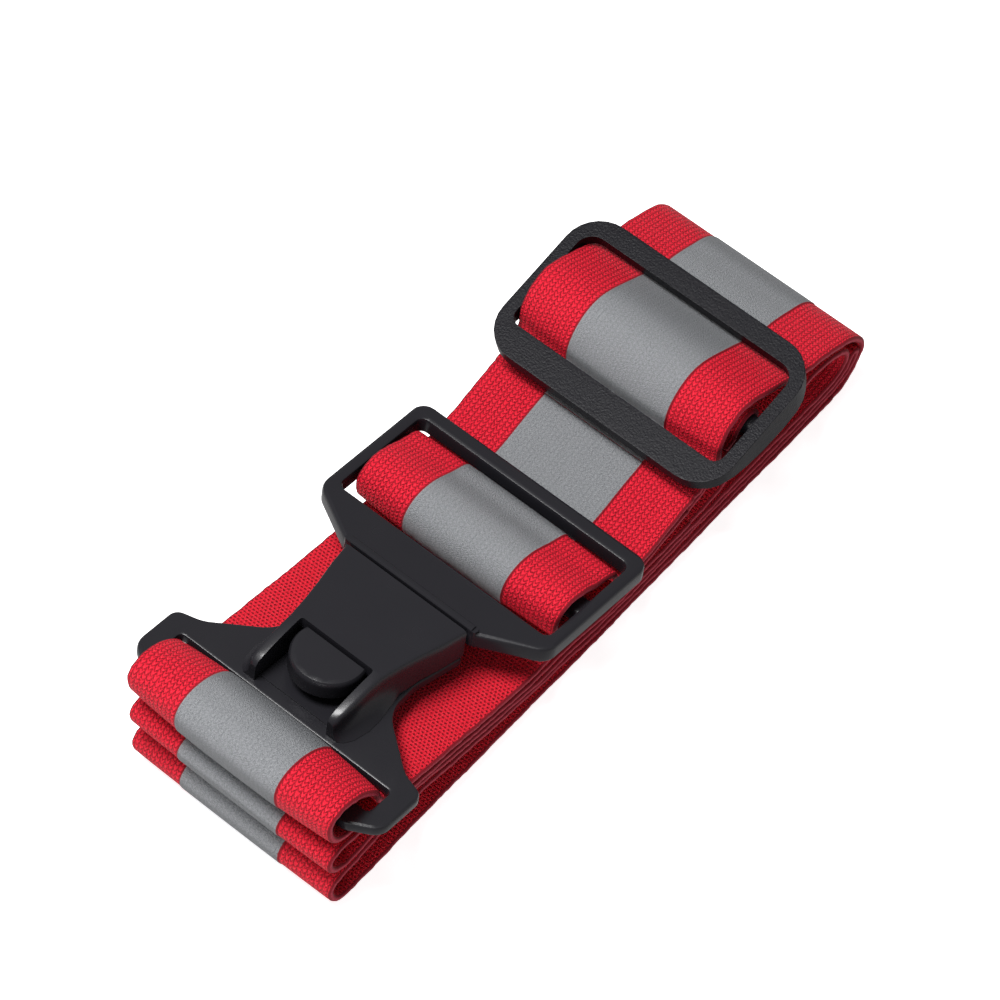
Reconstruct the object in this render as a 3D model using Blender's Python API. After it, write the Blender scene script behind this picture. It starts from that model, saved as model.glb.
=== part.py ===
"""Folded elastic strap with a push-button buckle and an adjuster.

Drawn in millimetres. The webbing's side profile is in X and Z and its width is along Y.
X runs from the socket's end to the folded end, Z is up and the strap rests on Z = 0.
"""

import math

import bmesh
import bpy
from mathutils import Matrix, Vector

MM = 0.001
CENTRE_X = 70.84
SHARP_ANGLE = math.radians(35)

# Webbing and the stripe on its right-hand face
WEBBING_HALF_WIDTH = 25.0
WEBBING_HALF_THICKNESS = 0.7
STRIPE_HALF_WIDTH = 12.5
STRIPE_GAP = 0.1
STRIPE_THICKNESS = 0.2
CURVE_STEPS = 12
MOST_TURN = math.radians(9)
MOST_STEP = 14.0

# Buckle frame: u runs down towards the plug, w is the normal of the plug's top face
BUCKLE_ORIGIN = (60.0, 22.4)
BUCKLE_TILT = math.radians(10)
PLUG_THICKNESS = 4.0
PLUG_HALF_WIDTH = 28.7
PLUG_SEAM = -18.0
PLUG_END = 19.7
PLUG_WINDOW = (-8.1, 16.2)
WINDOW_HALF_WIDTH = 26.0
PLUG_BAR = (3.0, -2.6, 2.6, 1.7)
TONGUE = (-36.5, 9.3, -3.9, -1.9)
CATCH = (-35.0, -31.2, 4.0)
LIP = (0.9, 0.2, 0.85, 0.85)
LIP_HALF_WIDTH = 15.4
LIP_END_DEPTH = -3.2

# The socket, in the same frame
SOCKET_FRONT = -63.3
PLATE_TOP = -6.6
PLATE_BOTTOM = -9.1
COVER_BOTTOM = -6.5
COVER_FRONT = -38.1
CAVITY_HALF_WIDTH = 9.8
CAVITY_TOP = -1.5
RECESS_HALF_WIDTH = 8.9
SLOT = (-58.2, -51.9)
FLOOR_STEP = (-49.0, -38.5)
BUTTON_CENTRE = -40.2
BUTTON_RADIUS = 7.7
BUTTON_TOP = 0.5
BUTTON_BOTTOM = -3.5

# Adjuster frame, tilted the other way
ADJUSTER_ORIGIN = (120.0, 28.8)
ADJUSTER_TILT = math.radians(-10)
ADJUSTER_SIDE_REST = -0.6
ADJUSTER_SPAN = (-25.6, 9.7)
ADJUSTER_HALF_WIDTH = 28.8
ADJUSTER_CORNER = 8.0
ADJUSTER_WINDOW = (-19.1, 5.3)
ADJUSTER_BAR = (-7.8, -2.5)

# The upper ply of the folded bundle, and how far the plies beneath lie under it
UPPER_PLY = [
    (17.4, 17.2),
    (28.0, 14.8),
    (39.0, 12.7),
    (48.0, 11.2),
    (60.0, 9.8),
    (72.0, 9.0),
    (84.0, 8.8),
    (96.0, 8.9),
]
SECOND_DROP = 2.2
THIRD_DROP = 3.9
FOURTH_DROP = 6.1

# From the upper ply round the inner turn at the folded end
UPPER_TURN = [
    (104.0, 10.0),
    (112.0, 12.3),
    (120.0, 15.0),
    (127.0, 16.9),
    (133.0, 17.6),
    (138.0, 17.0),
    (142.0, 15.6),
    (144.4, 13.6),
    (145.0, 11.4),
    (144.1, 9.3),
    (142.0, 7.9),
    (138.0, 7.1),
    (132.0, 6.75),
    (120.0, 6.7),
]
# The middle fold at the socket's end, then the narrow turn it leads to
MIDDLE_FOLD = [
    (12.0, 16.1),
    (8.0, 16.9),
    (2.0, 18.2),
    (-3.0, 19.0),
    (-6.0, 19.1),
    (-7.7, 17.9),
    (-7.9, 16.0),
    (-6.8, 13.6),
    (-4.0, 12.2),
    (2.0, 12.4),
    (8.0, 13.4),
    (12.0, 13.9),
]
MIDDLE_TURN = [
    (120.0, 3.8),
    (134.0, 3.9),
    (139.0, 4.3),
    (142.3, 5.0),
    (145.3, 6.7),
    (146.7, 8.4),
    (147.2, 9.5),
]
MIDDLE_TURN_HALF_GAP = 1.1
# The lowest fold, the ply on the ground, and the turn that wraps the folded end
LOWER_FOLD = [
    (12.0, 11.7),
    (6.0, 10.8),
    (0.0, 9.8),
    (-4.0, 9.4),
    (-6.6, 8.8),
    (-8.1, 7.1),
    (-8.1, 5.0),
    (-7.2, 2.9),
    (-5.6, 1.5),
    (-3.0, 1.0),
]
GROUND_PLY = [
    (12.0, 1.1),
    (30.0, 1.6),
    (42.0, 1.6),
    (60.0, 1.1),
    (80.0, 1.01),
    (100.0, 1.0),
    (120.0, 1.0),
]
OUTER_TURN = [
    (136.0, 1.0),
    (141.0, 1.0),
    (144.2, 1.5),
    (146.2, 2.9),
    (147.6, 4.9),
    (149.0, 6.9),
    (149.8, 9.0),
    (149.8, 11.2),
    (148.6, 13.5),
    (146.8, 15.8),
    (144.5, 17.5),
    (141.4, 19.1),
    (138.2, 20.1),
    (134.8, 21.0),
    (132.0, 21.3),
    (128.0, 20.7),
    (122.0, 19.2),
    (110.5, 17.4),
]
# From under the adjuster over the plug's bar and back
PLUG_LINE = [
    (103.6, 17.5),
    (98.5, 17.2),
    (94.0, 16.2),
    (89.0, 14.8),
    (84.0, 13.4),
    (80.0, 12.5),
    (77.4, 12.2),
    (75.4, 12.7),
    (74.0, 14.1),
    (72.6, 16.4),
    (70.8, 18.8),
    (68.0, 21.4),
    (65.2, 23.3),
    (62.6, 24.4),
    (60.2, 24.7),
    (58.0, 24.1),
    (56.3, 22.7),
    (55.4, 20.6),
    (55.3, 18.4),
    (56.2, 16.4),
    (58.2, 15.2),
    (62.0, 14.2),
    (68.0, 12.4),
    (74.0, 10.9),
    (80.0, 10.8),
    (84.0, 11.5),
    (89.0, 13.0),
    (94.0, 14.3),
    (98.5, 15.2),
    (103.6, 15.6),
]
# Over the adjuster's bar, from its far side
ARCH_LINE = [
    (129.0, 22.9),
    (125.6, 24.0),
    (122.4, 25.9),
    (119.3, 28.4),
    (116.0, 30.6),
    (113.0, 31.5),
    (110.2, 31.3),
    (107.8, 30.3),
    (105.9, 28.6),
    (104.5, 26.3),
    (103.8, 24.0),
    (103.7, 22.2),
    (103.2, 20.7),
    (102.5, 19.8),
]
# Round the adjuster's bar, from the returning ply to its sewn end
SEWN_LINE = [
    (105.6, 21.0),
    (108.0, 21.5),
    (111.0, 21.5),
    (114.0, 21.8),
    (115.9, 23.2),
    (116.4, 25.2),
    (115.4, 27.2),
    (113.2, 28.2),
    (110.9, 27.7),
    (109.4, 26.0),
    (108.2, 24.2),
    (107.0, 23.1),
    (105.6, 22.6),
]
# From the sewn tail, up through the slot, over the socket's bar and back under it
SOCKET_LINE = [
    (10.0, 20.7),
    (8.4, 20.9),
    (7.1, 21.2),
    (6.2, 22.0),
    (5.8, 23.3),
    (5.5, 25.2),
    (4.2, 27.4),
    (1.4, 30.2),
    (-1.5, 31.8),
    (-4.4, 32.2),
    (-6.4, 31.2),
    (-7.2, 29.3),
    (-7.1, 26.9),
    (-6.5, 24.8),
    (-5.2, 23.0),
    (-3.0, 22.0),
    (0.0, 21.3),
    (4.0, 20.4),
    (8.0, 19.3),
    (10.0, 18.85),
]

# The thread across the sewn end: its first stitch, how far each swings and the slope of the leg beneath
STITCHES = 40
STITCH_HALF_WIDTH = 20.0
STITCH_START = (106.2, 23.8)
STITCH_SWING = 0.8
STITCH_SLOPE = 0.42

# Base colour and roughness
COLOURS = {
    "webbing": ((0.62, 0.02, 0.03), 0.85),
    "stripe": ((0.29, 0.30, 0.31), 0.6),
    "thread": ((0.55, 0.02, 0.03), 0.8),
    "plug_plastic": ((0.028, 0.028, 0.031), 0.45),
    "adjuster_plastic": ((0.026, 0.027, 0.029), 0.5),
    "base_plastic": ((0.026, 0.026, 0.029), 0.5),
    "cover_plastic": ((0.030, 0.030, 0.033), 0.42),
    "button_plastic": ((0.032, 0.032, 0.035), 0.38),
    "latch_plastic": ((0.05, 0.05, 0.055), 0.5),
}


def clear_scene():
    for obj in list(bpy.data.objects):
        bpy.data.objects.remove(obj)


def material(node, kind):
    """A Principled material of the node's own, in the colour of its kind."""
    colour, roughness = COLOURS[kind]
    made = bpy.data.materials.new(node)
    made.use_nodes = True
    shader = made.node_tree.nodes["Principled BSDF"]
    shader.inputs["Base Color"].default_value = (*colour, 1.0)
    shader.inputs["Roughness"].default_value = roughness
    made.diffuse_color = (*colour, 1.0)
    return made


def frame_matrix(origin, tilt, side=0.0):
    """Local u, v, w to world, in metres."""
    place = Matrix.Translation(((origin[0] - CENTRE_X) * MM, side * MM, origin[1] * MM))
    return place @ Matrix.Rotation(tilt, 4, "Y")


WORLD = Matrix.Translation((-CENTRE_X * MM, 0.0, 0.0))
BUCKLE = frame_matrix(BUCKLE_ORIGIN, BUCKLE_TILT)
ADJUSTER = frame_matrix(ADJUSTER_ORIGIN, ADJUSTER_TILT, ADJUSTER_SIDE_REST)


def link_mesh(name, bm, frame, pivot=(0.0, 0.0, 0.0)):
    """Makes an object of the mesh, drawn in millimetres in the frame, with its origin at the pivot."""
    bmesh.ops.recalc_face_normals(bm, faces=bm.faces)
    mesh = bpy.data.meshes.new(name)
    bm.to_mesh(mesh)
    bm.free()
    mesh.transform(Matrix.Scale(MM, 4) @ Matrix.Translation(-Vector(pivot)))
    obj = bpy.data.objects.new(name, mesh)
    bpy.context.collection.objects.link(obj)
    obj.matrix_world = frame @ Matrix.Translation(Vector(pivot) * MM)
    return obj


def skin(rings):
    """A closed mesh through equal rings of points, with flat ends."""
    bm = bmesh.new()
    rows = [[bm.verts.new(point) for point in ring] for ring in rings]
    count = len(rows[0])
    for low, high in zip(rows, rows[1:]):
        for i in range(count):
            j = (i + 1) % count
            bm.faces.new((low[i], low[j], high[j], high[i]))
    bm.faces.new(list(reversed(rows[0])))
    bm.faces.new(rows[-1])
    return bm


def prism(name, outline, low, high, frame, pivot=(0.0, 0.0, 0.0)):
    """The (u, v) outline, extruded along w."""
    rings = [[(u, v, w) for u, v in outline] for w in (low, high)]
    return link_mesh(name, skin(rings), frame, pivot)


def side_prism(name, outline, half_width, frame, pivot=(0.0, 0.0, 0.0)):
    """The (u, w) outline, extruded across v."""
    rings = [[(u, v, w) for u, w in outline] for v in (-half_width, half_width)]
    return link_mesh(name, skin(rings), frame, pivot)


def rounded(corners, steps=5):
    """An outline through (u, v, radius) corners, each rounded with an arc-like curve."""
    points = []
    for i, (u, v, radius) in enumerate(corners):
        here = Vector((u, v))
        before = Vector(corners[i - 1][:2]) - here
        after = Vector(corners[(i + 1) % len(corners)][:2]) - here
        if radius <= 0:
            points.append(tuple(here))
            continue
        half_angle = before.angle(after) / 2
        reach = radius / math.tan(half_angle)
        before.normalize()
        after.normalize()
        centre = here + (before + after).normalized() * radius / math.sin(half_angle)
        start = here + before * reach - centre
        sweep = start.angle_signed(here + after * reach - centre)
        for k in range(steps + 1):
            angle = -sweep * k / steps
            c, s = math.cos(angle), math.sin(angle)
            points.append((centre.x + start.x * c - start.y * s, centre.y + start.x * s + start.y * c))
    return points


def mirrored(half):
    """A closed outline from its (u, v, radius) corners on one side."""
    return half + [(u, -v, radius) for u, v, radius in reversed(half)]


def box_outline(low, high, half_width, radius, steps=5):
    return rounded(mirrored([(low, half_width, radius), (high, half_width, radius)]), steps)


def oval(centre_u, centre_w, half_u, half_w, steps=20):
    """A superellipse in the (u, w) plane, for a rounded bar."""
    points = []
    for k in range(steps):
        angle = 2 * math.pi * k / steps
        c, s = math.cos(angle), math.sin(angle)
        u = centre_u + half_u * math.copysign(abs(c) ** 0.7, c)
        points.append((u, centre_w + half_w * math.copysign(abs(s) ** 0.7, s)))
    return points


def combine(obj, other, operation):
    """Applies a Boolean and hides the other object from the result."""
    modifier = obj.modifiers.new(operation.lower() + "_" + other.name, "BOOLEAN")
    modifier.operation = operation
    modifier.solver = "EXACT"
    modifier.object = other
    other.hide_render = True
    other.display_type = "WIRE"


def soften(obj, width):
    """Rounds the object's sharp edges."""
    bevel = obj.modifiers.new("edges", "BEVEL")
    bevel.width = width * MM
    bevel.segments = 2
    bevel.limit_method = "ANGLE"
    bevel.angle_limit = math.radians(38)
    bevel.use_clamp_overlap = True


def finish(obj, kind):
    obj.data.materials.append(material(obj.name, kind))
    obj.data.shade_smooth()
    obj.data.set_sharp_from_angle(angle=SHARP_ANGLE)


def smooth_line(points):
    """(place in the list, point) along a centripetal curve through the given points."""
    points = [Vector(point) for point in points]
    points = [2 * points[0] - points[1], *points, 2 * points[-1] - points[-2]]
    dense = []
    for place, (p0, p1, p2, p3) in enumerate(zip(points, points[1:], points[2:], points[3:])):
        t1 = math.sqrt((p1 - p0).length)
        t2 = t1 + math.sqrt((p2 - p1).length)
        t3 = t2 + math.sqrt((p3 - p2).length)
        for k in range(CURVE_STEPS):
            t = t1 + (t2 - t1) * k / CURVE_STEPS
            a1 = p0.lerp(p1, t / t1)
            a2 = p1.lerp(p2, (t - t1) / (t2 - t1))
            a3 = p2.lerp(p3, (t - t2) / (t3 - t2))
            b1 = a1.lerp(a2, t / t2)
            b2 = a2.lerp(a3, (t - t1) / (t3 - t1))
            dense.append((place + k / CURVE_STEPS, b1.lerp(b2, (t - t1) / (t2 - t1))))
    dense.append((len(points) - 3, points[-2]))
    return dense


def stations(points):
    """(place, point, left normal) along the smooth line, where it has turned or run on far enough."""
    dense = smooth_line(points)
    kept = []
    last_angle = 0.0
    last_point = dense[0][1]
    for i, (place, here) in enumerate(dense):
        along = dense[min(i + 1, len(dense) - 1)][1] - dense[max(i - 1, 0)][1]
        angle = math.atan2(along.y, along.x)
        turned = abs((angle - last_angle + math.pi) % (2 * math.pi) - math.pi)
        far = (here - last_point).length > MOST_STEP
        if i in (0, len(dense) - 1) or turned > MOST_TURN or far:
            kept.append((place, here, Vector((-math.sin(angle), math.cos(angle)))))
            last_angle = angle
            last_point = here
    return kept


def ribbon(name, line, low, high, half_width, kind):
    """A band between two offsets to the left of a line of stations in X and Z."""
    rings = []
    for _, here, normal in line:
        inner = here + normal * low
        outer = here + normal * high
        ring = [(inner, -half_width), (outer, -half_width), (outer, half_width), (inner, half_width)]
        rings.append([(p.x, y, p.y) for p, y in ring])
    obj = link_mesh(name, skin(rings), WORLD)
    finish(obj, kind)
    return obj


def webbing(name, points):
    half = WEBBING_HALF_THICKNESS
    return ribbon(name, stations(points), -half, half, WEBBING_HALF_WIDTH, "webbing")


def stripe(name, points, first=0, last=1000):
    """The stripe on the webbing of these points, from one place in their list to another."""
    line = [station for station in stations(points) if first <= station[0] <= last]
    near = WEBBING_HALF_THICKNESS + STRIPE_GAP
    return ribbon(name, line, -near - STRIPE_THICKNESS, -near, STRIPE_HALF_WIDTH, "stripe")


def dropped(points, drop):
    return [(x, z - drop) for x, z in points]


def middle_turn():
    """The narrow fold between the other two: out along the left of its line, round its tip and back."""
    line = stations(MIDDLE_TURN)
    out = [here + normal * MIDDLE_TURN_HALF_GAP for _, here, normal in line]
    back = [here - normal * MIDDLE_TURN_HALF_GAP for _, here, normal in reversed(line)]
    tip = Vector(MIDDLE_TURN[-1])
    arm = out[-1] - tip
    for degrees in (45, 90, 135):
        angle = -math.radians(degrees)
        c, s = math.cos(angle), math.sin(angle)
        out.append(tip + Vector((arm.x * c - arm.y * s, arm.x * s + arm.y * c)))
    return out + back


def build_folded_webbing():
    start = [(10.3, 18.78)]
    upper = start + UPPER_PLY + UPPER_TURN
    second = list(reversed(dropped(UPPER_PLY, SECOND_DROP))) + MIDDLE_FOLD
    third = dropped(UPPER_PLY, THIRD_DROP)
    fourth = list(reversed(dropped(UPPER_PLY, FOURTH_DROP))) + LOWER_FOLD
    outer = GROUND_PLY + OUTER_TURN
    inner = upper + second + third
    line = inner + middle_turn() + fourth + outer
    webbing("folded_webbing", line)
    stripe("folded_stripe_inner", line, 0, len(inner) - 1)
    stripe("folded_stripe_outer", line, len(line) - len(fourth + outer))


def build_other_webbing():
    webbing("plug_webbing", PLUG_LINE)
    stripe("plug_stripe", PLUG_LINE)
    webbing("adjuster_arch_webbing", ARCH_LINE)
    stripe("adjuster_arch_stripe", ARCH_LINE)
    webbing("sewn_loop_webbing", SEWN_LINE)
    webbing("socket_loop_webbing", SOCKET_LINE)
    stripe("socket_loop_stripe", SOCKET_LINE, 5)


def build_sewn_loop_stitching():
    """One zigzag thread across the sewn end, just above its upper leg."""
    rings = []
    for k in range(STITCHES + 1):
        y = -STITCH_HALF_WIDTH + 2 * STITCH_HALF_WIDTH * k / STITCHES
        side = STITCH_SWING if k % 2 else 0.0
        x = STITCH_START[0] + side
        z = STITCH_START[1] + side * STITCH_SLOPE
        section = [(-0.2, -0.1), (0.2, -0.02), (0.2, 0.2), (-0.2, 0.1)]
        rings.append([(x + across, y, z + up) for across, up in section])
    obj = link_mesh("sewn_loop_stitching", skin(rings), WORLD)
    finish(obj, "thread")


def build_plug():
    low_v, high_v = 15.4, PLUG_HALF_WIDTH
    half = [(PLUG_SEAM, low_v, 1.2), (-10.7, high_v, 4.0), (PLUG_END, high_v, 3.0)]
    plug = prism("plug_frame", rounded(mirrored(half)), -PLUG_THICKNESS, 0.0, BUCKLE)
    window = prism("cut_plug_window", box_outline(*PLUG_WINDOW, WINDOW_HALF_WIDTH, 1.6), -8.0, 3.0, BUCKLE)
    combine(plug, window, "DIFFERENCE")
    soften(plug, 0.7)
    tip, half_width, bottom, top = TONGUE
    root = PLUG_SEAM + 1.3
    tongue = rounded(mirrored([(tip, half_width, 2.5), (root, half_width, 0)]))
    combine(plug, prism("add_tongue", tongue, bottom, top, BUCKLE), "UNION")
    bar = side_prism("add_plug_bar", oval(*PLUG_BAR), WINDOW_HALF_WIDTH + 1.0, BUCKLE)
    combine(plug, bar, "UNION")
    offset, height, half_u, half_w = LIP
    section = oval(PLUG_SEAM + offset, height, half_u, half_w, 12)
    combine(plug, side_prism("add_plug_lip", section, LIP_HALF_WIDTH, BUCKLE), "UNION")
    for name, side in (("left", 1), ("right", -1)):
        end = oval(PLUG_SEAM + offset, side * LIP_HALF_WIDTH, half_u - 0.05, 0.9, 12)
        end = prism("add_lip_end_" + name, end, LIP_END_DEPTH, height + 0.45, BUCKLE)
        combine(plug, end, "UNION")
    catch = prism("cut_catch", box_outline(*CATCH, 0.5), -5.0, -1.0, BUCKLE)
    combine(plug, catch, "DIFFERENCE")
    finish(plug, "plug_plastic")


def build_socket_base():
    half = [
        (-18.6, 15.2, 0.8),
        (-30.0, 13.2, 6.0),
        (-38.0, 13.8, 8.0),
        (-46.8, 25.2, 8.0),
        (-48.4, 30.7, 2.5),
        (-59.6, 30.7, 4.0),
        (SOCKET_FRONT, 24.5, 3.0),
    ]
    base = prism("socket_base", rounded(mirrored(half), 6), PLATE_BOTTOM, PLATE_TOP, BUCKLE)
    slot = box_outline(*SLOT, WINDOW_HALF_WIDTH, 1.0)
    combine(base, prism("cut_slot", slot, -12.0, -4.0, BUCKLE), "DIFFERENCE")
    soften(base, 0.6)
    step = box_outline(*FLOOR_STEP, RECESS_HALF_WIDTH - 0.2, 0.3)
    combine(base, prism("add_floor_step", step, -7.4, PLATE_TOP + 0.25, BUCKLE), "UNION")
    finish(base, "base_plastic")


def cover_ring(u, half_top, top, half_bottom):
    """One section of the casing: straight roof, rounded shoulder and a hollow flare down to the plate."""
    side = []
    for k in range(6):
        t = k / 5
        v = half_bottom + (half_top - half_bottom) * (1 - (1 - t) ** 2.2)
        side.append((v, COVER_BOTTOM + (top - 0.8 - COVER_BOTTOM) * t ** 1.15))
    side.append((half_top - 0.25, top - 0.25))
    side.append((half_top - 0.8, top))
    ring = side + [(-v, w) for v, w in reversed(side)]
    return [(u, v, w) for v, w in ring]


def build_socket_cover():
    sections = [
        (-18.6, 15.0, 0.8, 15.0),
        (-24.0, 14.0, 1.0, 14.1),
        (-29.0, 12.8, 1.1, 13.0),
        (-34.0, 11.8, 1.2, 12.6),
        (COVER_FRONT, 11.2, 1.2, 13.4),
        (-41.0, 11.1, 0.8, 14.0),
        (-44.5, 11.1, 0.1, 14.2),
        (-48.0, 11.0, -0.8, 13.6),
        (-49.8, 10.8, -1.6, 12.6),
        (-50.6, 10.4, -2.6, 11.6),
    ]
    cover = link_mesh("socket_cover", skin([cover_ring(*section) for section in sections]), BUCKLE)
    recess = [(-60.0, RECESS_HALF_WIDTH, 0), (COVER_FRONT, RECESS_HALF_WIDTH, 0.6)]
    combine(cover, prism("cut_recess", rounded(mirrored(recess), 3), -9.0, 4.0, BUCKLE), "DIFFERENCE")
    narrow = [(-45.0, RECESS_HALF_WIDTH, 0), (-37.5, RECESS_HALF_WIDTH, 0)]
    wide = [(-37.0, CAVITY_HALF_WIDTH, 0), (-10.0, CAVITY_HALF_WIDTH, 0)]
    cavity = rounded(mirrored(narrow + wide))
    combine(cover, prism("cut_cavity", cavity, -9.0, CAVITY_TOP, BUCKLE), "DIFFERENCE")
    finish(cover, "cover_plastic")


def build_button():
    """A round thumb pad with a flat back at the cover's front edge, a soft rim and a foot over the latch."""
    back = COVER_FRONT - 0.35
    half_angle = math.acos((back - BUTTON_CENTRE) / BUTTON_RADIUS)
    steps = 30
    rings = []
    levels = [
        (BUTTON_BOTTOM, 0.0),
        (BUTTON_TOP - 1.2, 0.0),
        (BUTTON_TOP - 0.6, 0.15),
        (BUTTON_TOP - 0.2, 0.5),
        (BUTTON_TOP, 1.2),
    ]
    for w, inset in levels:
        ring = []
        for k in range(steps + 1):
            angle = half_angle + (2 * math.pi - 2 * half_angle) * k / steps
            radius = BUTTON_RADIUS - inset
            u = min(BUTTON_CENTRE + radius * math.cos(angle), back)
            ring.append((u, radius * math.sin(angle), w))
        rings.append(ring)
    pivot = (BUTTON_CENTRE, 0.0, BUTTON_BOTTOM)
    button = link_mesh("push_button", skin(rings), BUCKLE, pivot)
    foot = prism("add_button_foot", box_outline(-45.4, -42.0, 3.0, 0.6), -4.0, BUTTON_BOTTOM + 1.0, BUCKLE)
    combine(button, foot, "UNION")
    finish(button, "button_plastic")


def build_latch():
    """A leaf anchored near the seam, its tooth in the tongue's catch, its free end under the button."""
    outline = [
        (-19.6, -6.5),
        (-19.6, -4.2),
        (-31.8, -4.2),
        (-33.4, -2.9),
        (-34.5, -2.9),
        (-34.5, -4.2),
        (-46.0, -4.2),
        (-46.0, -5.0),
        (-22.4, -5.0),
        (-22.4, -6.5),
    ]
    latch = side_prism("latch_leaf", outline, 3.4, BUCKLE)
    finish(latch, "latch_plastic")


def build_adjuster():
    pivot = (ADJUSTER_BAR[0], 0.0, ADJUSTER_BAR[1])
    outline = box_outline(*ADJUSTER_SPAN, ADJUSTER_HALF_WIDTH, ADJUSTER_CORNER, 7)
    frame = prism("adjuster_frame", outline, -9.0, 0.0, ADJUSTER, pivot)
    near, far = ADJUSTER_WINDOW
    hole = rounded(mirrored([(near, WINDOW_HALF_WIDTH, 2.2), (far, WINDOW_HALF_WIDTH, 3.6)]))
    combine(frame, prism("cut_adjuster_window", hole, -12.0, 3.0, ADJUSTER), "DIFFERENCE")
    keel = [
        (-30.0, -2.8),
        (-19.5, -3.4),
        (-17.0, -4.4),
        (-14.0, -5.7),
        (-9.0, -6.9),
        (-3.5, -7.4),
        (1.0, -7.0),
        (4.0, -5.6),
        (6.5, -3.8),
        (9.0, -2.8),
        (14.0, -2.6),
        (14.0, -14.0),
        (-30.0, -14.0),
    ]
    combine(frame, side_prism("cut_adjuster_underside", keel, 34.0, ADJUSTER), "DIFFERENCE")
    under_bars = [(-30.0, -14.0), (14.0, -14.0), (14.0, -3.0), (-30.0, -3.0)]
    cutter = side_prism("cut_bar_undersides", under_bars, WINDOW_HALF_WIDTH + 0.3, ADJUSTER)
    combine(frame, cutter, "DIFFERENCE")
    soften(frame, 0.7)
    bar = side_prism("add_adjuster_bar", oval(*ADJUSTER_BAR, 2.1, 1.6), WINDOW_HALF_WIDTH + 1.0, ADJUSTER)
    combine(frame, bar, "UNION")
    finish(frame, "adjuster_plastic")


def main():
    clear_scene()
    build_folded_webbing()
    build_other_webbing()
    build_sewn_loop_stitching()
    build_plug()
    build_socket_base()
    build_socket_cover()
    build_button()
    build_latch()
    build_adjuster()
    bpy.context.view_layer.update()


main()
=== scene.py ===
"""Looks of the folded elastic strap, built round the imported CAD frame.

Side lines, sections and UVs are in millimetres, and meshes are made in metres.
"""

import math

import bpy
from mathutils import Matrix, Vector


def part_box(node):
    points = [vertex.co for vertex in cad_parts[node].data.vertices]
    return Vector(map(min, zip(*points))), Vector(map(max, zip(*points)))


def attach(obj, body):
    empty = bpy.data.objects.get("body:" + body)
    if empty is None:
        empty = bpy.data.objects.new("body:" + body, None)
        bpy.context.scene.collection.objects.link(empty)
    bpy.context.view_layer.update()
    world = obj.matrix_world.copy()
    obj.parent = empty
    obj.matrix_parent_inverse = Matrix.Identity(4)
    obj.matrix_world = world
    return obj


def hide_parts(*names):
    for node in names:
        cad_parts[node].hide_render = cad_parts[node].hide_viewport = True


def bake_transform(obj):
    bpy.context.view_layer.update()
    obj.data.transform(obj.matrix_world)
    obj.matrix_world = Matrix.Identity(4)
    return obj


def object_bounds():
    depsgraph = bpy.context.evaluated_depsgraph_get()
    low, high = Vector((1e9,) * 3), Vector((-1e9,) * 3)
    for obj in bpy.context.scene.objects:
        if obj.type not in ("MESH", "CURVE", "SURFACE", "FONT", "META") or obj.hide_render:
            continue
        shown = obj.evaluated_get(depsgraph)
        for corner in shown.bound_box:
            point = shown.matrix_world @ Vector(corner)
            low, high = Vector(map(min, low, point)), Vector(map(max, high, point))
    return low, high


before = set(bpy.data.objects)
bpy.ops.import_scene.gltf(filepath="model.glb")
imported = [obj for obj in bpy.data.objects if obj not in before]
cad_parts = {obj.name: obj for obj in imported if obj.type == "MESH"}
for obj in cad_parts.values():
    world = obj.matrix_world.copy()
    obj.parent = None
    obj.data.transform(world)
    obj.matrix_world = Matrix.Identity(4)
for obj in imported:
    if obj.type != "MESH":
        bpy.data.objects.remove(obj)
CAD_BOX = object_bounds()

MM = 0.001

# Webbing and stripe sections
HALF_WIDTH = 25.0
HALF_THICKNESS = 0.7
EDGE_ROUND = 0.45
STRIPE_HALF_WIDTH = 12.6
STRIPE_LIFT = 0.16
STRIPE_BORDER = 0.35
STRIPE_RIM = 0.02
STRIPE_SUNK = 0.2
RING_STEP = 1.0
ACROSS = 24

# Slow sideways drift of a band and the raggedness of the webbing's edges, how fast each runs along the band,
# and what sets the far edge apart from the near one
DRIFT = 0.15
RAGGED = 0.16
DRIFT_PACE = 0.25
RAGGED_PACE = 2.2
FAR_EDGE_SEED = 3.0

# Knit pitches, along and across the strap
KNIT_ROW = 0.95
KNIT_COLUMN = 1.05
BACK_ROW = 0.78
BACK_COLUMN = 0.86

# Material slots of a band
FRONT, BACK, EDGE = 0, 1, 2

# Side lines: the angle that marks a square end, and the step that irons out a joined line
SQUARE_END = math.radians(60)
IRONING_STEP = 2.2


# ---------------------------------------------------------------- side lines, read from the frame


def low(node):
    """A CAD node's lowest corner at rest."""
    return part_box(node)[0] / MM


def high(node):
    """A CAD node's highest corner at rest."""
    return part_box(node)[1] / MM


def end_outline(node):
    """The outline of a CAD band's end face at its highest Y, as (x, z) points in order."""
    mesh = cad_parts[node].data
    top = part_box(node)[1].y
    edges = set()
    for face in mesh.polygons:
        corners = [mesh.vertices[i].co for i in face.vertices]
        if any(abs(corner.y - top) > 1e-6 for corner in corners):
            continue
        keys = [(round(corner.x * 1e5), round(corner.z * 1e5)) for corner in corners]
        for a, b in zip(keys, keys[1:] + keys[:1]):
            if (b, a) in edges:
                edges.remove((b, a))
            else:
                edges.add((a, b))
    after = dict(edges)
    loop = [min(after)]
    while after[loop[-1]] != loop[0]:
        loop.append(after[loop[-1]])
    return [Vector((x * 0.01, z * 0.01)) for x, z in loop]


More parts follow.
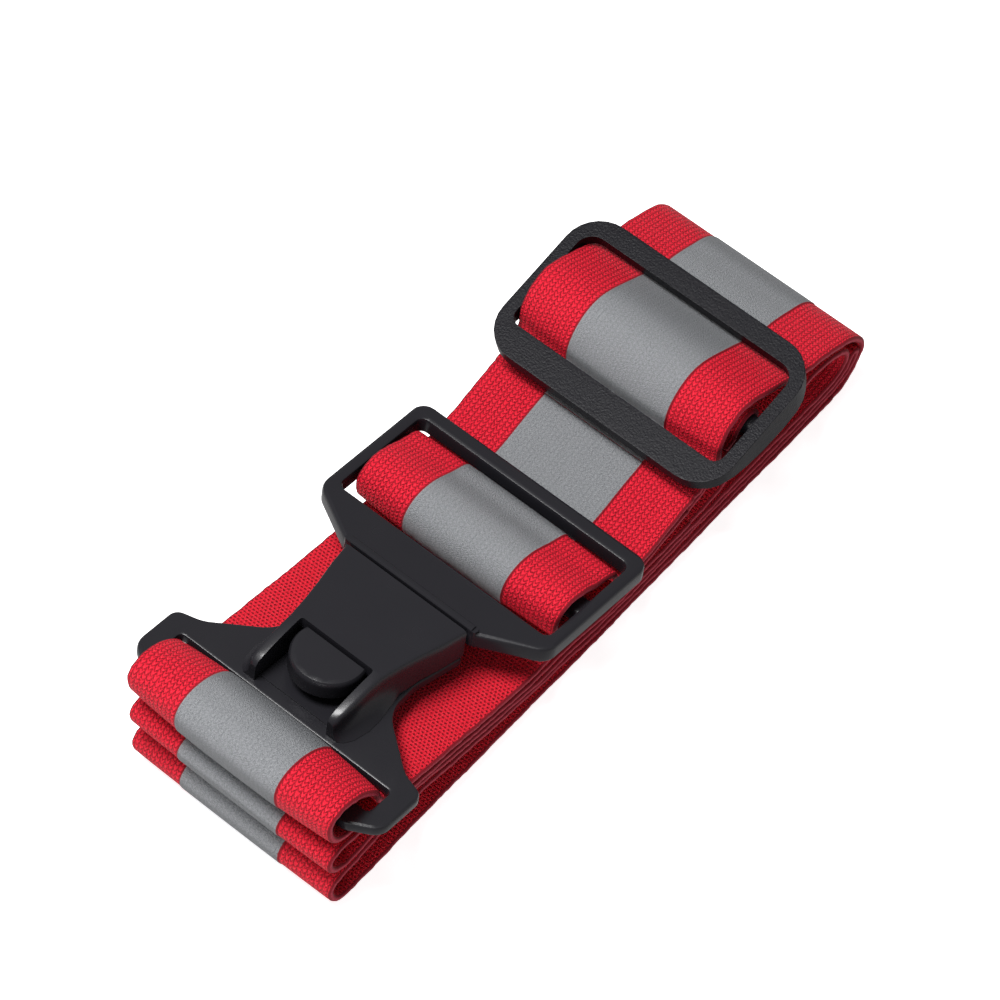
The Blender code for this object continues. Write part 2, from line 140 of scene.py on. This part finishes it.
def centreline(node, start_side):
    """The line midway between a CAD band's two faces, from its end nearer the given (x, z) side."""
    loop = end_outline(node)
    count = len(loop)
    square = []
    for i in range(count):
        before = loop[i] - loop[i - 1]
        after = loop[(i + 1) % count] - loop[i]
        if before.angle(after) > SQUARE_END:
            square.append(i)
    first, second, third, fourth = square
    if second - first == 1:
        one = loop[second : third + 1]
        other = loop[fourth:] + loop[: first + 1]
    else:
        one = loop[first : second + 1]
        other = loop[third : fourth + 1]
    middle = [(a + b) / 2 for a, b in zip(one, reversed(other))]
    if (middle[0] - middle[-1]).dot(Vector(start_side)) < 0:
        middle.reverse()
    return spline(middle)


def spline(points, steps=10):
    """A centripetal curve through the points."""
    points = [2 * points[0] - points[1], *points, 2 * points[-1] - points[-2]]
    dense = []
    for p0, p1, p2, p3 in zip(points, points[1:], points[2:], points[3:]):
        t1 = math.sqrt((p1 - p0).length)
        t2 = t1 + math.sqrt((p2 - p1).length)
        t3 = t2 + math.sqrt((p3 - p2).length)
        for k in range(steps):
            t = t1 + (t2 - t1) * k / steps
            a1 = p0.lerp(p1, t / t1)
            a2 = p1.lerp(p2, (t - t1) / (t2 - t1))
            a3 = p2.lerp(p3, (t - t2) / (t3 - t2))
            b1 = a1.lerp(a2, t / t2)
            b2 = a2.lerp(a3, (t - t1) / (t3 - t1))
            dense.append(b1.lerp(b2, (t - t1) / (t2 - t1)))
    dense.append(points[-2])
    return dense


def even(line, step):
    """The same line with points an even step apart."""
    lengths = [0.0]
    for a, b in zip(line, line[1:]):
        lengths.append(lengths[-1] + (b - a).length)
    count = max(2, round(lengths[-1] / step))
    out = []
    i = 0
    for k in range(count + 1):
        target = lengths[-1] * k / count
        while i < len(line) - 2 and lengths[i + 1] < target:
            i += 1
        span = max(lengths[i + 1] - lengths[i], 1e-9)
        out.append(line[i].lerp(line[i + 1], (target - lengths[i]) / span))
    return out


def crossing(line, x, highest):
    """The place in the line where it crosses this X at its highest or lowest point."""
    found = [i for i, (a, b) in enumerate(zip(line, line[1:])) if (a.x - x) * (b.x - x) <= 0]
    pick = max if highest else min
    return pick(found, key=lambda i: line[i].y)


def smoothed(line):
    """The line resampled coarsely, then curved again, so that joined stretches meet without a kink."""
    return spline(even(line, IRONING_STEP))


FOLDED = centreline("folded_webbing", (-1, 0))
SOCKET = centreline("socket_loop_webbing", (0, 1))
ARCH = centreline("adjuster_arch_webbing", (1, 0))
PLUG = centreline("plug_webbing", (0, 1))
SEWN = centreline("sewn_loop_webbing", (0, -1))

SOCKET_TAIL_X = high("socket_loop_webbing").x
FOLDED_END_X = high("folded_webbing").x

# Places of the crowns along the strap are given from here, a little inside the end of the socket's loop
DATUM_X = low("socket_loop_webbing").x + 7.9

# Where one piece of webbing ends and the next begins: under the adjuster's near bar, on the ground ply
# and on the top ply
SEAM_X = low("adjuster_frame").x + 1.7
GROUND_SEAM_X = FOLDED_END_X - 9.5
TOP_SEAM_X = FOLDED_END_X - 17.0

seam_on_folded = crossing(FOLDED, SEAM_X, True)
ground_seam = crossing(FOLDED, GROUND_SEAM_X, False)
top_seam = crossing(FOLDED, TOP_SEAM_X, True)
seam_on_plug = crossing(PLUG, SEAM_X, True)
return_seam = crossing(PLUG, SEAM_X, False)


# ---------------------------------------------------------------- webbing and stripe meshes


class Crown:
    """A fold whose middle bulges out, or whose edges draw in, round a centre in X and Z."""

    def __init__(self, centre, reach, middle_out=0.0, edges_in=0.0):
        self.centre = Vector(centre)
        self.reach = reach
        self.middle_out = middle_out
        self.edges_in = edges_in

    def shift(self, point, y):
        away = point - self.centre
        fade = max(0.0, 1.0 - (away.length / self.reach) ** 2)
        fade = fade * fade * (3 - 2 * fade)
        edge = abs(y / HALF_WIDTH) ** 2.5
        amount = self.middle_out * (1 - edge) - self.edges_in * edge
        return away.normalized() * amount * fade


class Flank:
    """The far side of a dome, filled out in one direction near a point in X and Z."""

    def __init__(self, centre, spread, push):
        self.centre = Vector(centre)
        self.spread = spread
        self.push = Vector(push)

    def shift(self, point, _):
        away = (point - self.centre).length / self.spread
        return self.push * math.exp(-away * away)


def from_datum(x, z):
    """An (x, z) point whose X is given from the datum."""
    return (x + DATUM_X, z)


CROWNS = [
    Flank(from_datum(71.8, 17.6), 3.4, (1.5, 0.9)),
    Crown(from_datum(0.5, 25.0), 13.0, middle_out=1.2),
    Crown(from_datum(-2.0, 16.0), 8.0, middle_out=0.6),
    Crown(from_datum(-2.5, 5.5), 8.0, middle_out=0.3),
    Crown(from_datum(61.0, 15.0), 13.5, edges_in=1.3),
    Crown(from_datum(112.5, 21.0), 14.0, edges_in=1.3),
]

ARCH_CENTRE = Vector(from_datum(112.5, 21.0))
ARCH_REACH = 12.0
ARCH_WIDENING = 0.4


def widening(point, y):
    """How far the webbing's far edge is drawn out where it fills the adjuster's window."""
    away = (point - ARCH_CENTRE).length / ARCH_REACH
    return ARCH_WIDENING * math.exp(-away * away) * max(0.0, y / HALF_WIDTH) ** 3


def wobble(s, seed):
    """A small slow unevenness along a band."""
    return (
        0.5 * math.sin(s * 0.31 + seed)
        + 0.3 * math.sin(s * 0.83 + seed * 2.3)
        + 0.2 * math.sin(s * 1.9 + seed * 4.1)
    )


def normals(line):
    """The left normal at each point of a line."""
    out = []
    for i in range(len(line)):
        along = (line[min(i + 1, len(line) - 1)] - line[max(i - 1, 0)]).normalized()
        out.append(Vector((-along.y, along.x)))
    return out


def webbing_section():
    """(y, offset, side) round one section: front face, far edge, back face, near edge."""
    flat = HALF_WIDTH - EDGE_ROUND
    front = [(-flat + 2 * flat * k / ACROSS, -HALF_THICKNESS, -1.0) for k in range(ACROSS + 1)]
    edge = []
    for k in range(1, 4):
        angle = math.radians(-90 + 45 * k)
        edge.append((flat + EDGE_ROUND * math.cos(angle), HALF_THICKNESS * math.sin(angle), math.sin(angle)))
    back = [(-y, HALF_THICKNESS, 1.0) for y, _, _ in front]
    return front + edge + back + [(-y, offset, side) for y, offset, side in reversed(edge)]


def stripe_section():
    """(y, offset, side) of the raised stripe: its top, then down into the webbing and back under."""
    rim = -HALF_THICKNESS - STRIPE_LIFT
    flat = STRIPE_HALF_WIDTH - STRIPE_BORDER
    top = [(-flat + 2 * flat * k / ACROSS, rim, -1.0) for k in range(ACROSS + 1)]
    far = [
        (STRIPE_HALF_WIDTH, -HALF_THICKNESS - STRIPE_RIM, 0.0),
        (STRIPE_HALF_WIDTH, -HALF_THICKNESS + STRIPE_SUNK, 1.0),
    ]
    near = [(-y, offset, side) for y, offset, side in reversed(far)]
    return top + far + near


def face_kind(side_a, side_b):
    """The material slot of a face between two section points, from their sides."""
    if side_a == side_b == -1.0:
        return FRONT
    if side_a == side_b == 1.0:
        return BACK
    return EDGE


def sweep(line, section, seed, ragged):
    """Vertices in metres and (along, across) UVs in millimetres, one section after another along the line."""
    points = []
    uvs = []
    s = 0.0
    for i, (here, normal) in enumerate(zip(line, normals(line))):
        s += (here - line[i - 1]).length if i else 0.0
        drift = DRIFT * wobble(s * DRIFT_PACE, seed)
        for y, offset, _ in section:
            place = here + normal * offset
            for crown in CROWNS:
                place = place + crown.shift(here, y)
            edge_seed = seed + (FAR_EDGE_SEED if y > 0 else 0.0)
            edge = ragged * wobble(s * RAGGED_PACE, edge_seed) * abs(y / HALF_WIDTH) ** 8
            across = y + drift + math.copysign(edge, y) + widening(here, y)
            points.append((place.x * MM, across * MM, place.y * MM))
            uvs.append((s, y))
    return points, uvs


def skin(rings, section):
    """Faces and their material slots round a swept section, closed at both ends."""
    count = len(section)
    faces = []
    slots = []
    for a in range(0, (rings - 1) * count, count):
        b = a + count
        for j in range(count):
            k = (j + 1) % count
            faces.append((a + j, a + k, b + k, b + j))
            slots.append(face_kind(section[j][2], section[k][2]))
    faces.append(tuple(range(count - 1, -1, -1)))
    faces.append(tuple(range((rings - 1) * count, rings * count)))
    return faces, slots + [EDGE, EDGE]


def band(name, line, section, materials, seed, ragged=0.0):
    """A closed band swept along a line, crowned at the folds."""
    line = even(line, RING_STEP)
    points, uvs = sweep(line, section, seed, ragged)
    faces, slots = skin(len(line), section)
    mesh = bpy.data.meshes.new(name)
    mesh.from_pydata(points, [], faces)
    layer = mesh.uv_layers.new(name="knit")
    for loop in mesh.loops:
        layer.data[loop.index].uv = uvs[loop.vertex_index]
    side_layer = mesh.attributes.new("side", "FLOAT", "POINT")
    side_layer.data.foreach_set("value", [side for _, _, side in section] * len(line))
    for material in materials:
        mesh.materials.append(material)
    mesh.polygons.foreach_set("material_index", slots)
    mesh.shade_smooth()
    obj = bpy.data.objects.new(name, mesh)
    bpy.context.collection.objects.link(obj)
    return obj


def webbing(name, line, seed):
    """A length of elastic webbing."""
    obj = band(name, line, webbing_section(), WEBBING_MATERIALS, seed, RAGGED)
    return obj


def stripe(name, line, seed):
    """A length of reflective stripe."""
    obj = band(name, line, stripe_section(), STRIPE_MATERIALS, seed)
    return obj


# ---------------------------------------------------------------- materials


class Nodes:
    """Short calls for a material's node tree."""

    def __init__(self, name):
        self.material = bpy.data.materials.new(name)
        self.material.use_nodes = True
        self.tree = self.material.node_tree
        self.shader = self.tree.nodes["Principled BSDF"]

    def node(self, kind, **settings):
        made = self.tree.nodes.new(kind)
        for key, value in settings.items():
            setattr(made, key, value)
        return made

    def put(self, value, socket):
        if isinstance(value, bpy.types.NodeSocket):
            self.tree.links.new(value, socket)
        else:
            socket.default_value = value

    def math(self, operation, *values):
        made = self.node("ShaderNodeMath", operation=operation)
        for value, socket in zip(values, made.inputs):
            self.put(value, socket)
        return made.outputs[0]

    def mix(self, amount, first, second):
        made = self.node("ShaderNodeMix", data_type="RGBA")
        self.put(amount, made.inputs["Factor"])
        self.put(colour(first), made.inputs["A"])
        self.put(colour(second), made.inputs["B"])
        return made.outputs["Result"]

    def map(self, value, low_in, high_in, low_out, high_out):
        """The value eased from one range to another."""
        made = self.node("ShaderNodeMapRange", interpolation_type="SMOOTHSTEP")
        for given, socket in zip((value, low_in, high_in, low_out, high_out), made.inputs):
            self.put(given, socket)
        return made.outputs[0]

    def total(self, *values):
        result = values[0]
        for value in values[1:]:
            result = self.math("ADD", result, value)
        return result

    def noise(self, vector, scale, detail):
        made = self.node("ShaderNodeTexNoise")
        self.put(vector, made.inputs["Vector"])
        made.inputs["Scale"].default_value = scale
        made.inputs["Detail"].default_value = detail
        return made.outputs[0]

    def centred_noise(self, vector, scale, detail, amount):
        """Noise about zero, times an amount."""
        centred = self.math("SUBTRACT", self.noise(vector, scale, detail), 0.5)
        return self.math("MULTIPLY", centred, amount)

    def bump(self, height, depth):
        """Relief from a height, over a depth in millimetres."""
        made = self.node("ShaderNodeBump")
        made.inputs["Distance"].default_value = depth * MM
        self.put(height, made.inputs["Height"])
        self.tree.links.new(made.outputs[0], self.shader.inputs["Normal"])

    def millimetres(self):
        """(vector, along, across) from the band's UVs."""
        uv = self.node("ShaderNodeUVMap", uv_map="knit").outputs[0]
        split = self.node("ShaderNodeSeparateXYZ")
        self.put(uv, split.inputs[0])
        return uv, split.outputs[0], split.outputs[1]

    def place(self, scale):
        """Object coordinates in millimetres, times the scale."""
        made = self.node("ShaderNodeVectorMath", operation="SCALE")
        self.put(self.node("ShaderNodeTexCoord").outputs["Object"], made.inputs[0])
        made.inputs["Scale"].default_value = scale / MM
        return made.outputs[0]

    def finish(self, base, roughness, specular):
        self.put(colour(base), self.shader.inputs["Base Color"])
        self.put(roughness, self.shader.inputs["Roughness"])
        self.put(specular, self.shader.inputs["Specular IOR Level"])
        return self.material


def colour(value):
    """An (r, g, b) colour with its alpha; anything else as it is."""
    return (*value, 1.0) if isinstance(value, tuple) and len(value) == 3 else value


def knit_height(n, along, across, slant):
    """Stitch beads in columns along the band, each row bent into a shallow V."""
    columns = n.math("DIVIDE", across, KNIT_COLUMN)
    offset = n.math("SUBTRACT", n.math("FRACT", columns), 0.5)
    off_centre = n.math("ABSOLUTE", offset)
    stagger = n.math("MULTIPLY", n.math("PINGPONG", n.math("FLOOR", columns), 1.0), 0.5)
    rows = n.math("ADD", n.math("DIVIDE", along, KNIT_ROW), n.math("MULTIPLY", off_centre, slant))
    phase = n.math("FRACT", n.math("ADD", rows, stagger))
    bead = n.math("SINE", n.math("MULTIPLY", phase, math.pi))
    barrel = n.math("COSINE", n.math("MULTIPLY", off_centre, math.pi * 0.86))
    return n.math("MULTIPLY", n.math("POWER", bead, 0.7), barrel)


def front_webbing():
    """Red knit in columns, with painted shade between the stitches and painted highlights on the top of each
    stitch.
    """
    n = Nodes("webbing_front")
    uv, along, across = n.millimetres()
    height = knit_height(n, n.total(along, n.centred_noise(uv, 0.9, 2.0, 0.8)), across, 1.3)
    tone = n.total(height, n.centred_noise(uv, 3.6, 3.0, 1.7))
    # Painted shade: dark red between the stitches, rising to the knit's own red on the stitches
    body = n.mix(n.map(tone, 0.0, 0.75, 0.0, 1.0), (0.24, 0.0015, 0.008), (0.74, 0.009, 0.031))
    # Painted highlight: pale pink on the top of the stitches
    painted_highlights = n.mix(n.map(tone, 0.85, 1.35, 0.0, 0.75), body, (0.97, 0.060, 0.090))
    n.bump(tone, 0.22)
    return n.finish(painted_highlights, 0.7, 0.25)


def mesh_gaps(n, along, across):
    """The distance from the nearest gap in the back's mesh, in pitches, every other row shifted by half."""
    rows = n.math("DIVIDE", along, BACK_ROW)
    stagger = n.math("MULTIPLY", n.math("PINGPONG", n.math("FLOOR", rows), 1.0), 0.5)
    columns = n.total(n.math("DIVIDE", across, BACK_COLUMN), stagger)
    u = n.math("SUBTRACT", n.math("FRACT", rows), 0.5)
    v = n.math("SUBTRACT", n.math("FRACT", columns), 0.5)
    u_squared = n.math("MULTIPLY", n.math("MULTIPLY", u, u), 2.0)
    return n.math("SQRT", n.total(u_squared, n.math("MULTIPLY", v, v)))


def back_webbing():
    """A flat mesh of yarn with short dark gaps in staggered rows, and painted highlights on the yarn."""
    n = Nodes("webbing_back")
    uv, along, across = n.millimetres()
    yarn = n.map(mesh_gaps(n, along, across), 0.12, 0.5, 0.0, 1.0)
    tone = n.total(yarn, n.centred_noise(uv, 3.2, 3.0, 2.0))
    body = n.mix(n.map(tone, 0.0, 0.7, 0.0, 1.0), (0.19, 0.001, 0.006), (0.66, 0.006, 0.023))
    # Painted highlight: paler pink on the yarn between the gaps
    painted_highlights = n.mix(n.map(tone, 0.9, 1.35, 0.0, 0.7), body, (0.80, 0.045, 0.065))
    n.bump(tone, 0.24)
    return n.finish(painted_highlights, 0.75, 0.25)


def webbing_edge():
    """Painted shade: dark red, darkest where the edge rounds into the faces, with a paler line of turned yarn
    along the middle.
    """
    n = Nodes("webbing_edge")
    uv, _, _ = n.millimetres()
    side = n.node("ShaderNodeAttribute", attribute_name="side").outputs["Fac"]
    middle = n.map(n.math("ABSOLUTE", side), 0.1, 0.8, 1.0, 0.0)
    grain = n.noise(uv, 1.6, 3.0)
    paler = n.math("MULTIPLY", middle, n.map(grain, 0.3, 0.7, 0.5, 1.0))
    # Painted shade: the edge darker than the faces and darker still towards them; the paler middle line is
    # the turned yarn
    base = n.mix(paler, (0.19, 0.003, 0.010), (0.42, 0.035, 0.062))
    n.bump(grain, 0.08)
    return n.finish(base, 0.8, 0.25)


def stripe_top():
    """Glass-bead film: fine grain over a faint print of the knit, with painted shade where it turns away from
    the view.
    """
    n = Nodes("stripe_film")
    uv, along, across = n.millimetres()
    stretched = n.node("ShaderNodeMapping", vector_type="POINT")
    n.put(uv, stretched.inputs["Vector"])
    stretched.inputs["Scale"].default_value = (1.25, 0.7, 1.0)
    grain = n.noise(stretched.outputs[0], 4.4, 3.0)
    print_through = n.math("MULTIPLY", knit_height(n, along, across, 1.0), 0.12)
    height = n.total(print_through, grain)
    base = n.mix(n.map(height, 0.35, 0.8, 0.0, 1.0), (0.184, 0.190, 0.201), (0.306, 0.313, 0.325))
    # Painted shade: the film darkened where its face turns away from the view
    painted_facing_shade = n.node("ShaderNodeLayerWeight").outputs["Facing"]
    base = n.mix(n.map(painted_facing_shade, 0.3, 0.62, 0.0, 0.48), base, (0.085, 0.088, 0.094))
    n.bump(height, 0.46)
    return n.finish(base, 0.55, 0.26)


def stripe_border():
    """The red line of webbing round the film."""
    n = Nodes("stripe_border")
    return n.finish((0.24, 0.006, 0.014), 0.8, 0.25)


def plastic(name, base, roughness, grain, depth, specular=0.38):
    """Moulded plastic with a grain of the given size and depth in millimetres, less shiny on its sides."""
    n = Nodes(name)
    n.bump(n.noise(n.place(1.0 / grain), 1.0, 3.0), depth)
    rough = n.total(roughness, n.centred_noise(n.place(0.12), 1.0, 2.0, 0.12))
    facing = n.node("ShaderNodeSeparateXYZ")
    n.put(n.node("ShaderNodeNewGeometry").outputs["Normal"], facing.inputs[0])
    sheen = n.map(facing.outputs["Z"], 0.45, 0.92, 0.3 * specular, specular)
    return n.finish(base, rough, sheen)


def thread():
    """Red sewing thread."""
    n = Nodes("thread")
    texture = n.noise(n.place(1.0), 2.0, 3.0)
    n.bump(texture, 0.1)
    return n.finish(n.mix(texture, (0.35, 0.004, 0.01), (0.66, 0.03, 0.04)), 0.8, 0.3)


# In the order of the slots FRONT, BACK and EDGE
WEBBING_MATERIALS = [front_webbing(), back_webbing(), webbing_edge()]
STRIPE_SIDE = stripe_border()
STRIPE_MATERIALS = [stripe_top(), STRIPE_SIDE, STRIPE_SIDE]


# ---------------------------------------------------------------- pieces


# Points left out where two lines join: the folded line's first, after the socket's line, and the arch's last,
# before the plug's line
FOLDED_LEFT_OUT = 4
ARCH_LEFT_OUT = 3

# Height at which the stripe comes up through the socket's slot
SLOT_TOP = 25.0

# The narrow middle turn, which has no stripe: how far it reaches from the folded end, and its heights
TURN_REACH = 12.0
TURN_LOW, TURN_HIGH = 2.0, 6.2

# Points along the arch's far side, and how far before the seam the plug's line takes over from the arch's
FLANK_POINTS = 9
FOOT_LEAD = 2.0

# The returning ply's rise to its sewn loop: how far along it sags, and by how much in X and Z
RISE_PLACE = 0.4
RISE_SAG = Vector((0.6, -0.8))

# Where the outer turn starts, this far before the folded end
TURN_BEND_START = 7.5

# Each strand's own unevenness
SOCKET_SEED, BUNDLE_SEED, ADJUSTER_SEED, PLUG_SEED, SEWN_SEED = 0.4, 1.7, 2.9, 4.2, 5.1


def strand(name, line, seed, bare=0):
    """A length of webbing and the stripe along it, which leaves the line's first points bare."""
    return webbing(name + "_webbing", line, seed), stripe(name + "_stripe", line[bare:], seed)


def bend(pieces, nodes):
    """Puts the pieces in place of their CAD nodes, with their placing baked into their meshes."""
    for piece, node in zip(pieces, nodes):
        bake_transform(piece)
        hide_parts(node)


def carry(piece, body, node):
    """Rides a piece on a body, in place of its CAD node."""
    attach(piece, body)
    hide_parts(node)


def build_socket_end():
    """The sewn loop round the socket's bar and the upper ply that runs on under the buckle."""
    slot = Vector((SOCKET_TAIL_X, SLOT_TOP))
    bare = min(range(len(SOCKET)), key=lambda i: (SOCKET[i] - slot).length)
    line = SOCKET + FOLDED[FOLDED_LEFT_OUT : seam_on_folded + 1]
    pieces = strand("socket_end", line, SOCKET_SEED, bare)
    nodes = ("socket_loop_webbing", "socket_loop_stripe")
    bend(pieces, nodes)


def in_middle_turn(point):
    """Whether a point of the folded line is in the turn that is hidden between the other two."""
    return point.x > FOLDED_END_X - TURN_REACH and TURN_LOW < point.y < TURN_HIGH


def build_folded_bundle():
    """The plies between the upper one and the ground, with the stripe wherever it can be seen."""
    line = FOLDED[seam_on_folded : ground_seam + 1]
    carry(webbing("folded_bundle_webbing", line, BUNDLE_SEED), "strap", "folded_webbing")
    turn = [i for i, point in enumerate(line[:-1]) if in_middle_turn(point)]
    inner = stripe("folded_bundle_stripe_inner", line[: min(turn)], BUNDLE_SEED)
    outer = stripe("folded_bundle_stripe_outer", line[max(turn) :], BUNDLE_SEED)
    carry(inner, "strap", "folded_stripe_inner")
    carry(outer, "strap", "folded_stripe_outer")


def far_flank(crown, foot):
    """The arch's far side, falling evenly from its crown to the top of the outer turn, given foot first."""
    line = []
    for k in range(FLANK_POINTS - 1, 0, -1):
        t = k / FLANK_POINTS
        fall = (t**1.2 + t * t * (3 - 2 * t)) / 2
        line.append(Vector((crown.x + (foot.x - crown.x) * t, crown.y + (foot.y - crown.y) * fall)))
    return line


def build_adjuster_strand():
    """From the ground ply round the outer turn, over the adjuster's centre bar and under its near bar."""
    top = max(range(len(ARCH)), key=lambda i: ARCH[i].y)
    turn = FOLDED[ground_seam : top_seam + 1]
    flank = far_flank(ARCH[top], turn[-1])
    foot = PLUG[crossing(PLUG, SEAM_X + FOOT_LEAD, True) : seam_on_plug + 1]
    line = smoothed(turn + flank + ARCH[top:-ARCH_LEFT_OUT] + foot)
    pieces = strand("adjuster_strand", line, ADJUSTER_SEED)
    start = FOLDED[crossing(FOLDED, FOLDED_END_X - TURN_BEND_START, True)]
    nodes = ("adjuster_arch_webbing", "adjuster_arch_stripe")
    bend(pieces, nodes)


def build_plug_strand():
    """From the adjuster's near bar to the plug, over its centre bar and back."""
    pieces = strand("plug_strand", PLUG[seam_on_plug : return_seam + 1], PLUG_SEED)
    nodes = ("plug_webbing", "plug_stripe")
    bend(pieces, nodes)


def build_sewn_end():
    """The returning ply, rising to its sewn loop round the adjuster's centre bar."""
    tail = PLUG[return_seam]
    rise = tail.lerp(SEWN[0], RISE_PLACE) + RISE_SAG
    strap = webbing("sewn_end_webbing", spline([tail, rise, *even(SEWN, IRONING_STEP)]), SEWN_SEED)
    carry(strap, "adjuster_webbing", "sewn_loop_webbing")


# CAD meshes: edges bent more than this stay sharp, and corners nearer than this are welded
SHARP_ANGLE = math.radians(32)
WELD_GAP = 0.002


def smooth_by_angle():
    """A node group that shades a CAD mesh smooth across its shallow edges."""
    group = bpy.data.node_groups.new("smooth_by_angle", "GeometryNodeTree")
    group.interface.new_socket("Geometry", in_out="INPUT", socket_type="NodeSocketGeometry")
    group.interface.new_socket("Geometry", in_out="OUTPUT", socket_type="NodeSocketGeometry")
    nodes = group.nodes
    start = nodes.new("NodeGroupInput")
    end = nodes.new("NodeGroupOutput")
    faces = nodes.new("GeometryNodeSetShadeSmooth")
    edges = nodes.new("GeometryNodeSetShadeSmooth")
    faces.domain = "FACE"
    edges.domain = "EDGE"
    angle = nodes.new("GeometryNodeInputMeshEdgeAngle")
    shallow = nodes.new("FunctionNodeCompare")
    shallow.data_type = "FLOAT"
    shallow.operation = "LESS_THAN"
    shallow.inputs["B"].default_value = SHARP_ANGLE
    link = group.links.new
    link(angle.outputs[0], shallow.inputs["A"])
    link(start.outputs[0], faces.inputs["Geometry"])
    link(faces.outputs[0], edges.inputs["Geometry"])
    link(shallow.outputs[0], edges.inputs["Shade Smooth"])
    link(edges.outputs[0], end.inputs[0])
    return group


def finish_cad_nodes():
    """The moulded pieces and the stitching stay as the frame has them, smoothed and given their finishes."""
    finishes = {
        "plug_frame": plastic("plug_plastic", (0.0125, 0.0120, 0.0150), 0.25, 0.5, 0.012),
        "socket_base": plastic("base_plastic", (0.0130, 0.0125, 0.0155), 0.28, 0.5, 0.016),
        "socket_cover": plastic("cover_plastic", (0.0135, 0.0130, 0.0162), 0.25, 0.6, 0.008),
        "push_button": plastic("button_plastic", (0.0140, 0.0135, 0.0165), 0.24, 0.6, 0.008),
        "latch_leaf": plastic("latch_plastic", (0.02, 0.02, 0.023), 0.5, 0.6, 0.02),
        "adjuster_frame": plastic("adjuster_plastic", (0.0070, 0.0067, 0.0090), 0.34, 0.40, 0.07, 0.11),
        "sewn_loop_stitching": thread(),
    }
    group = smooth_by_angle()
    for node, made in finishes.items():
        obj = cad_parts[node]
        obj.data.materials.clear()
        obj.data.materials.append(made)
        weld = obj.modifiers.new("weld", "WELD")
        weld.merge_threshold = WELD_GAP * MM
        smooth = obj.modifiers.new("smooth", "NODES")
        smooth.node_group = group
        normal = obj.modifiers.new("normals", "WEIGHTED_NORMAL")
        normal.weight = 100
        normal.keep_sharp = True


# ---------------------------------------------------------------- camera, light and floor


# The camera of the fitted view, 57 degrees above the ground
CAMERA_PLACE = Vector((-0.36974, -0.3145, 0.7848))
CAMERA_FORWARD = Vector((0.408, 0.349, -0.8436))
CAMERA_LENS = 170.9

# Light from the floor and the world: white to the camera, dimmer to the object
FLOOR_GLOW, FLOOR_GLOW_SEEN = 0.32, 0.8
FLOOR_GREY, FLOOR_GREY_SEEN = 0.45, 0.8
WORLD_GLOW, WORLD_GLOW_SEEN = 0.26, 1.0
FLOOR_REACH = 3.0


def aim(obj, place, target):
    """Puts a lamp or a camera in its place, pointing at the target."""
    obj.location = place
    obj.rotation_euler = (Vector(target) - Vector(place)).to_track_quat("-Z", "Y").to_euler()


def area_light(name, place, size, power):
    """A soft rectangular lamp, aimed at the object."""
    data = bpy.data.lights.new(name, "AREA")
    data.shape = "RECTANGLE"
    data.size, data.size_y = size
    data.energy = power
    light = bpy.data.objects.new(name, data)
    bpy.context.collection.objects.link(light)
    aim(light, place, (0.0, 0.0, 0.012))


def build_floor():
    """A plain pale floor under the object."""
    r = FLOOR_REACH
    mesh = bpy.data.meshes.new("floor")
    mesh.from_pydata([(-r, -r, 0), (r, -r, 0), (r, r, 0), (-r, r, 0)], [], [(0, 1, 2, 3)])
    floor = bpy.data.objects.new("floor", mesh)
    bpy.context.collection.objects.link(floor)
    n = Nodes("floor_white")
    n.shader.inputs["Emission Color"].default_value = (1.0, 1.0, 1.0, 1.0)
    seen = n.node("ShaderNodeLightPath").outputs["Is Camera Ray"]
    n.put(n.map(seen, 0.0, 1.0, FLOOR_GLOW, FLOOR_GLOW_SEEN), n.shader.inputs["Emission Strength"])
    grey = n.mix(seen, (FLOOR_GREY,) * 3, (FLOOR_GREY_SEEN,) * 3)
    mesh.materials.append(n.finish(grey, 0.9, 0.1))
    floor.location.z = CAD_BOX[0].z


def build_world():
    """A dim studio that is white where the camera sees it."""
    world = bpy.data.worlds.new("studio")
    world.use_nodes = True
    tree = world.node_tree
    seen = tree.nodes.new("ShaderNodeLightPath").outputs["Is Camera Ray"]
    strength = tree.nodes.new("ShaderNodeMapRange")
    strength.inputs["To Min"].default_value = WORLD_GLOW
    strength.inputs["To Max"].default_value = WORLD_GLOW_SEEN
    tree.links.new(seen, strength.inputs["Value"])
    background = tree.nodes["Background"]
    background.inputs["Color"].default_value = (1.0, 1.0, 1.0, 1.0)
    tree.links.new(strength.outputs["Result"], background.inputs["Strength"])
    bpy.context.scene.world = world


def build_camera():
    """The camera, at the fitted view."""
    data = bpy.data.cameras.new("camera")
    data.lens = CAMERA_LENS
    data.clip_start = 0.05
    camera = bpy.data.objects.new("camera", data)
    bpy.context.collection.objects.link(camera)
    aim(camera, CAMERA_PLACE, CAMERA_PLACE + CAMERA_FORWARD)
    bpy.context.scene.camera = camera


def build_stage():
    """The studio: world, lamps, floor and camera."""
    build_world()
    area_light("key", (-0.15, 0.18, 0.84), (0.32, 0.32), 9.8)
    area_light("fill", (-0.75, -0.26, 0.11), (0.4, 0.18), 2.0)
    build_floor()
    build_camera()
    bpy.context.scene.view_settings.view_transform = "Standard"


build_socket_end()
build_folded_bundle()
build_adjuster_strand()
build_plug_strand()
build_sewn_end()
finish_cad_nodes()
build_stage()
